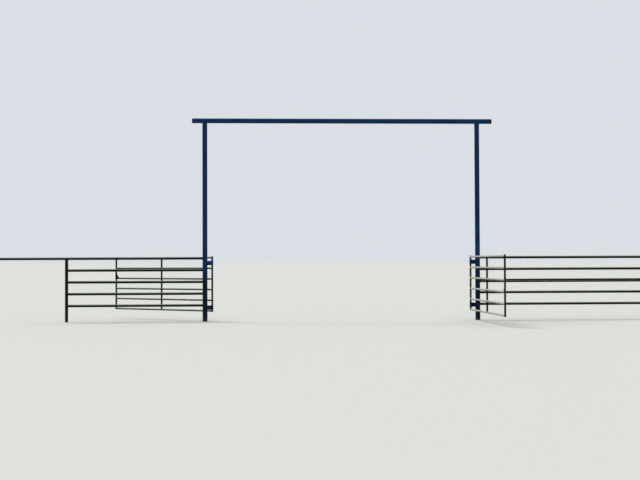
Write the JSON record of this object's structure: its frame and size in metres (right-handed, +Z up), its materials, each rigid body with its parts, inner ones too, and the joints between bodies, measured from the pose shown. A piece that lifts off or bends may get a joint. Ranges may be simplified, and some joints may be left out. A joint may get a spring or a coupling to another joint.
{
  "type": "ranch gateway with pipe gates",
  "caption": "Ranch gateway of welded steel pipe: tall posts under a straight header, railed swing gates on sleeve hinges, and pipe-rail fence wings off to both sides.",
  "frame": {"origin": "centre of the left gatepost's foot, at ground level", "axes": "+X along the gateway to the right gatepost, +Y to the back, +Z up"},
  "size_m": [20.29, 4.7415, 4.7372],
  "materials": {
    "frame_enamel": "gloss blue-black enamel on pipe, dusty on top",
    "fence_enamel": "semi-gloss black enamel on pipe, weathered on top",
    "gate_enamel": "semi-gloss black enamel on tube, weathered on top",
    "hinge_enamel": "blue-black enamel, rubbed at the running faces"
  },
  "bodies": {
    "gateway": {"header_left_cap": "frame_enamel", "header_pipe": "frame_enamel", "header_right_cap": "frame_enamel", "left_end_post": "fence_enamel", "left_gatepost": "frame_enamel", "left_line_post": "fence_enamel", "left_lower_hinge_plate": "hinge_enamel", "left_lower_hinge_sleeve": "hinge_enamel", "left_rail_2": "fence_enamel", "left_rail_3": "fence_enamel", "left_rail_4": "fence_enamel", "left_rail_5": "fence_enamel", "left_top_rail": "fence_enamel", "left_top_rail_cap": "fence_enamel", "left_upper_hinge_plate": "hinge_enamel", "left_upper_hinge_sleeve": "hinge_enamel", "right_end_post": "fence_enamel", "right_gatepost": "frame_enamel", "right_line_post": "fence_enamel", "right_lower_hinge_plate": "hinge_enamel", "right_lower_hinge_sleeve": "hinge_enamel", "right_rail_2": "fence_enamel", "right_rail_3_lower": "fence_enamel", "right_rail_3_upper": "fence_enamel", "right_rail_4": "fence_enamel", "right_rail_5": "fence_enamel", "right_top_rail": "fence_enamel", "right_top_rail_cap": "fence_enamel", "right_upper_hinge_plate": "hinge_enamel", "right_upper_hinge_sleeve": "hinge_enamel"},
    "left_gate": {"left_gate_collars": "hinge_enamel", "left_gate_end_stile": "gate_enamel", "left_gate_hinge_stile": "gate_enamel", "left_gate_latch_plate": "gate_enamel", "left_gate_mid_stay": "gate_enamel", "left_gate_rails": "gate_enamel"},
    "right_gate": {"right_gate_chain_staple": "gate_enamel", "right_gate_collars": "hinge_enamel", "right_gate_end_stile": "gate_enamel", "right_gate_hinge_stile": "gate_enamel", "right_gate_mid_stay": "gate_enamel", "right_gate_rails": "gate_enamel"}
  },
  "joints": [
    {"name": "left_gate_hinge", "type": "hinge", "parent": "gateway", "child": "left_gate", "pos_m": [0.168, 0, 0], "axis": [0, 0, 1], "range_deg": [-293.5, 2.5]},
    {"name": "right_gate_hinge", "type": "hinge", "parent": "gateway", "child": "right_gate", "pos_m": [6.232, 0, 0], "axis": [0, 0, 1], "range_deg": [-240.8, 55.2]}
  ]
}
